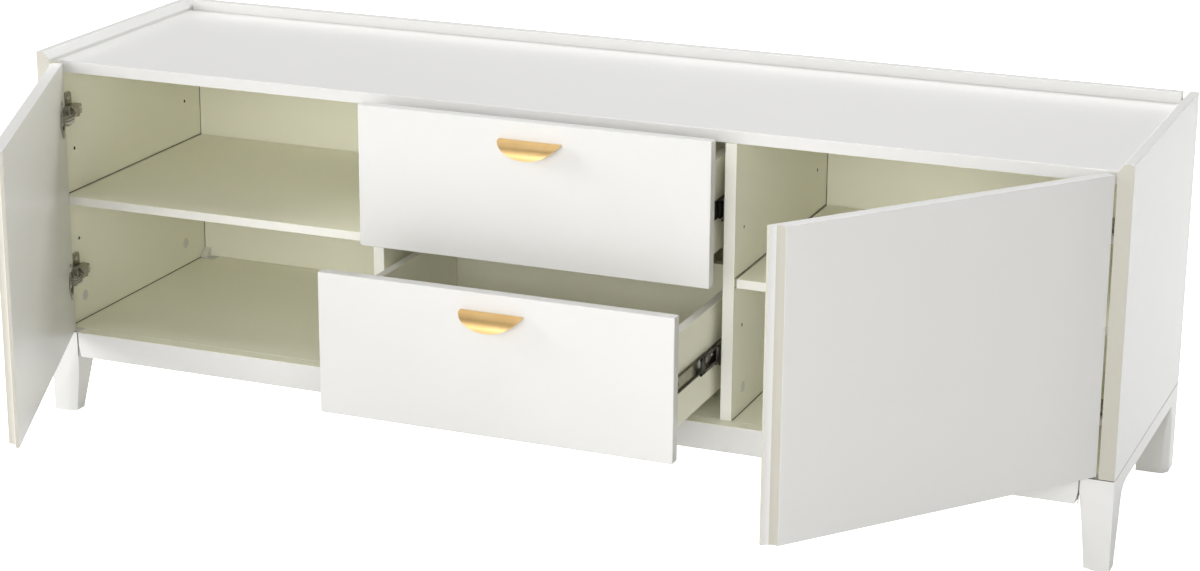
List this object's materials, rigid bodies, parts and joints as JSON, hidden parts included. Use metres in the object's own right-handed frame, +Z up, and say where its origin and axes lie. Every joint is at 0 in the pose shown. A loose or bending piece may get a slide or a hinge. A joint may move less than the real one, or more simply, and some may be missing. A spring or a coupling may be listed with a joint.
{
  "type": "tv stand",
  "caption": "Low white media cabinet on splayed legs: hinged doors at both ends with shelves behind, a stack of drawers with half-moon pulls between.",
  "frame": {"origin": "on the floor, under the middle of the whole stand's box with its doors and drawers as left", "axes": "+X to the stand's right as seen from the front, +Y from the front to the back, +Z up"},
  "size_m": [1.5, 0.828, 0.515],
  "materials": {
    "white_lacquer": "semi-gloss white lacquer on board",
    "white_board": "warm white melamine, satin",
    "white_hardboard": "painted hardboard, matt",
    "satin_brass": "satin gold plating",
    "nickel_steel": "nickel-plated pressed steel"
  },
  "bodies": {
    "cabinet": {"top_panel": "white_lacquer", "bottom_panel": "white_board", "back_panel": "white_hardboard", "back_rim": "white_lacquer", "left_side_panel": "white_lacquer", "right_side_panel": "white_lacquer", "left_divider": "white_board", "right_divider": "white_board", "front_rail": "white_lacquer", "rear_rail": "white_lacquer", "left_side_rail": "white_lacquer", "right_side_rail": "white_lacquer", "front_left_leg": "white_lacquer", "front_right_leg": "white_lacquer", "rear_left_leg": "white_lacquer", "rear_right_leg": "white_lacquer", "left_shelf": "white_board", "right_shelf": "white_board", "left_shelf_bracket_front_outer": "nickel_steel", "left_shelf_bracket_front_inner": "nickel_steel", "left_shelf_bracket_rear_outer": "nickel_steel", "left_shelf_bracket_rear_inner": "nickel_steel", "left_lower_hinge_arm": "nickel_steel", "left_upper_hinge_arm": "nickel_steel", "right_shelf_bracket_front_outer": "nickel_steel", "right_shelf_bracket_front_inner": "nickel_steel", "right_shelf_bracket_rear_outer": "nickel_steel", "right_shelf_bracket_rear_inner": "nickel_steel", "right_lower_hinge_arm": "nickel_steel", "right_upper_hinge_arm": "nickel_steel", "lower_left_slide_outer": "nickel_steel", "lower_right_slide_outer": "nickel_steel", "upper_left_slide_outer": "nickel_steel", "upper_right_slide_outer": "nickel_steel"},
    "left_door": {"left_door": "white_lacquer", "left_lower_hinge_cup": "nickel_steel", "left_upper_hinge_cup": "nickel_steel"},
    "right_door": {"right_door": "white_lacquer", "right_lower_hinge_cup": "nickel_steel", "right_upper_hinge_cup": "nickel_steel"},
    "lower_slides": {"lower_left_slide_middle": "nickel_steel", "lower_right_slide_middle": "nickel_steel"},
    "lower_drawer": {"lower_drawer_front": "white_lacquer", "lower_drawer_handle": "satin_brass", "lower_drawer_bottom": "white_board", "lower_drawer_back": "white_board", "lower_drawer_left_side": "white_board", "lower_drawer_right_side": "white_board", "lower_left_slide_inner": "nickel_steel", "lower_right_slide_inner": "nickel_steel"},
    "upper_slides": {"upper_left_slide_middle": "nickel_steel", "upper_right_slide_middle": "nickel_steel"},
    "upper_drawer": {"upper_drawer_front": "white_lacquer", "upper_drawer_handle": "satin_brass", "upper_drawer_bottom": "white_board", "upper_drawer_back": "white_board", "upper_drawer_left_side": "white_board", "upper_drawer_right_side": "white_board", "upper_left_slide_inner": "nickel_steel", "upper_right_slide_inner": "nickel_steel"}
  },
  "joints": [
    {"name": "left_door_hinge", "type": "hinge", "parent": "cabinet", "child": "left_door", "pos_m": [-0.7275, 0.01399, 0.1225], "axis": [0, 0, -1], "range_deg": [-66.1, 38.9]},
    {"name": "right_door_hinge", "type": "hinge", "parent": "cabinet", "child": "right_door", "pos_m": [0.7275, 0.01399, 0.1225], "axis": [0, 0, 1], "range_deg": [-51.4, 53.6]},
    {"name": "lower_drawer_run", "type": "slide", "parent": "cabinet", "child": "lower_drawer", "axis": [0, -1, 0], "range_m": [-0.1635, 0.1565]},
    {"name": "lower_slides_run", "type": "slide", "parent": "cabinet", "child": "lower_slides", "axis": [0, -1, 0], "range_m": [-0.08175, 0.07825]},
    {"name": "upper_drawer_run", "type": "slide", "parent": "cabinet", "child": "upper_drawer", "axis": [0, -1, 0], "range_m": [-0.0438, 0.2762]},
    {"name": "upper_slides_run", "type": "slide", "parent": "cabinet", "child": "upper_slides", "axis": [0, -1, 0], "range_m": [-0.0219, 0.1381]}
  ],
  "couplings": [
    {"joint": "lower_slides_run", "follows": "lower_drawer_run", "ratio": 0.5},
    {"joint": "upper_slides_run", "follows": "upper_drawer_run", "ratio": 0.5}
  ]
}
